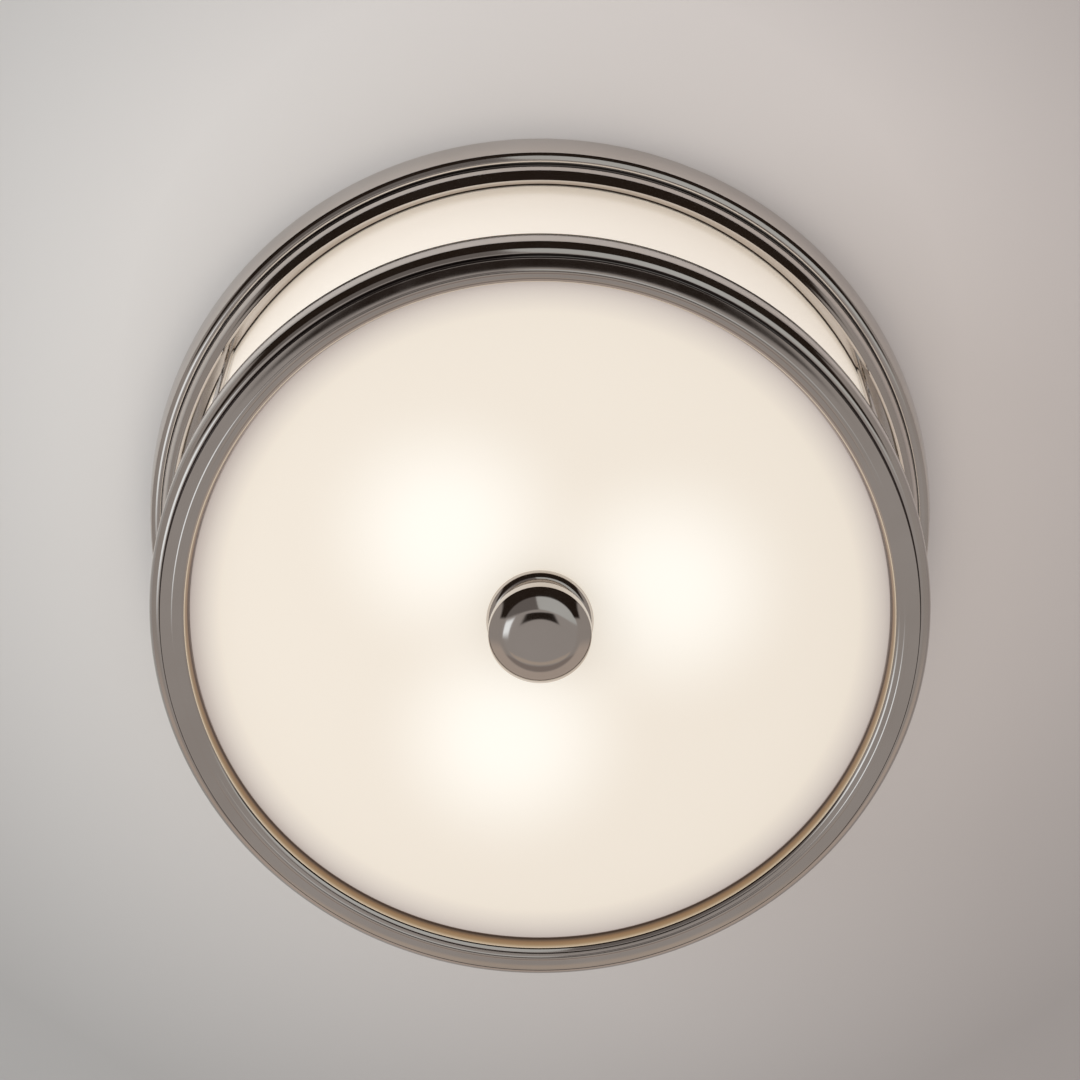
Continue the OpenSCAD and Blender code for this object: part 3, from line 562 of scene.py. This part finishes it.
# painted light: brightest round the light, fading away from it
painted_light_falloff = tree.nodes.new("ShaderNodeVectorMath")
painted_light_falloff.operation = "SCALE"
tree.links.new(painted_side_light, painted_light_falloff.inputs[0])
tree.links.new(spread(tree, away_from(tree, (0.0, -0.06, 0.0)), 1.04, 0.58, 0.19, 0.39),
               painted_light_falloff.inputs["Scale"])
tree.links.new(painted_light_falloff.outputs["Vector"], shader.inputs["Base Color"])
from_back = tree.nodes.new("ShaderNodeNewGeometry").outputs["Backfacing"]
inside_pan = maths(tree, "LESS_THAN", away_from_axis(tree), (rim_r - 4.8) * MM)
clear = tree.nodes.new("ShaderNodeBsdfTransparent")
mix = tree.nodes.new("ShaderNodeMixShader")
tree.links.new(maths(tree, "MAXIMUM", from_back, inside_pan), mix.inputs["Fac"])
tree.links.new(shader.outputs["BSDF"], mix.inputs[1])
tree.links.new(clear.outputs["BSDF"], mix.inputs[2])
tree.links.new(mix.outputs["Shader"], tree.nodes["Material Output"].inputs["Surface"])
mesh.materials.append(ceiling_material)


# Room
# Soft daylight from all round. The polished metal mirrors the room below it: a pale floor, a
# bright table to the right, a dark end behind the viewer, a dark stand straight below, and
# a window to the left.
world = bpy.data.worlds.new("room")
bpy.context.scene.world = world
world.use_nodes = True
tree = world.node_tree
tree.nodes.clear()
output = tree.nodes.new("ShaderNodeOutputWorld")
direction = tree.nodes.new("ShaderNodeTexCoord").outputs["Generated"]


def toward(x, y, z):
    """How far the direction looked in leans toward a given one."""
    node = tree.nodes.new("ShaderNodeVectorMath")
    node.operation = "DOT_PRODUCT"
    tree.links.new(direction, node.inputs[0])
    node.inputs[1].default_value = (x, y, z)
    return node.outputs["Value"]


def lay(below, colour, *edges):
    """Lays a patch of colour over the room. Each edge is a lean and where it fades in and is full."""
    patch = 1.0
    for lean, none, full in edges:
        node = tree.nodes.new("ShaderNodeMapRange")
        node.interpolation_type = "SMOOTHSTEP"
        node.inputs["From Min"].default_value = none
        node.inputs["From Max"].default_value = full
        tree.links.new(lean, node.inputs["Value"])
        patch = maths(tree, "MULTIPLY", patch, node.outputs["Result"])
    return blend(tree, patch, below, colour)


# ahead is towards the viewer, and behind is past the light
height = toward(0.0, 0.0, 1.0)
ahead = toward(0.0, -1.0, 0.0)
behind = toward(0.0, 1.0, 0.0)
right = toward(1.0, 0.0, 0.0)

# walls, far wall, floor, a pale strip on it and the shadow past it
room = lay((0.36, 0.33, 0.31), (0.46, 0.42, 0.40), (height, 0.0, 0.6))
room = lay(room, (0.50, 0.43, 0.38), (behind, 0.35, 0.60), (height, -0.62, -0.45))
room = lay(room, (0.375, 0.35, 0.335), (height, -0.66, -0.74))
room = lay(room, (0.49, 0.42, 0.36), (behind, 0.52, 0.55), (behind, 0.62, 0.59), (height, -0.70, -0.76))
room = lay(room, (0.27, 0.23, 0.21), (behind, 0.60, 0.66), (height, -0.48, -0.60))

# floor to the left, table to the right
room = lay(room, (0.16, 0.145, 0.138), (height, -0.62, -0.70), (toward(-0.99, 0.14, 0.0), -0.02, 0.02),
           (ahead, 0.05, 0.12))
room = lay(room, (0.54, 0.555, 0.545), (height, -0.67, -0.70), (toward(0.99, -0.14, 0.0), -0.01, 0.02),
           (toward(0.17, -0.985, 0.0), 0.0, 0.10), (toward(0.42, -0.91, 0.0), 0.06, 0.11))

# dark end, stand and window
room = lay(room, (0.02, 0.013, 0.009), (right, -0.90, -0.84), (right, 0.90, 0.84), (ahead, 0.05, 0.13),
           (height, -0.73, -0.69), (height, 0.85, 0.75))
room = lay(room, (0.02, 0.014, 0.011), (behind, 0.02, 0.05), (behind, 0.235, 0.20), (right, 0.19, 0.14),
           (right, -0.19, -0.14), (height, -0.90, -0.93))
room = lay(room, (1.15, 1.22, 1.26), (right, -0.36, -0.44), (right, -0.68, -0.62), (behind, -0.06, 0.06),
           (behind, 0.38, 0.22), (height, -0.55, -0.60))

mirrored = tree.nodes.new("ShaderNodeBackground")
tree.links.new(room, mirrored.inputs["Color"])
soft = tree.nodes.new("ShaderNodeBackground")
soft.inputs["Color"].default_value = (0.82, 0.80, 0.79, 1.0)
soft.inputs["Strength"].default_value = 0.9
ray = tree.nodes.new("ShaderNodeLightPath")
choose = tree.nodes.new("ShaderNodeMixShader")
tree.links.new(ray.outputs["Is Glossy Ray"], choose.inputs["Fac"])
tree.links.new(soft.outputs["Background"], choose.inputs[1])
tree.links.new(mirrored.outputs["Background"], choose.inputs[2])
tree.links.new(choose.outputs["Shader"], output.inputs["Surface"])

window_light = bpy.data.lights.new("window_light", "AREA")
window_light.size = 1.6
window_light.energy = 14.0
window_light.color = (0.93, 0.97, 1.0)
lamp = bpy.data.objects.new("window_light", window_light)
lamp.visible_glossy = False
lamp.location = (-2.2, -0.6, -1.6)
lamp.rotation_euler = (Vector((0.0, 0.0, -0.08)) - lamp.location).to_track_quat("-Z", "Y").to_euler()
bpy.context.collection.objects.link(lamp)

bpy.context.scene.view_settings.view_transform = "Standard"
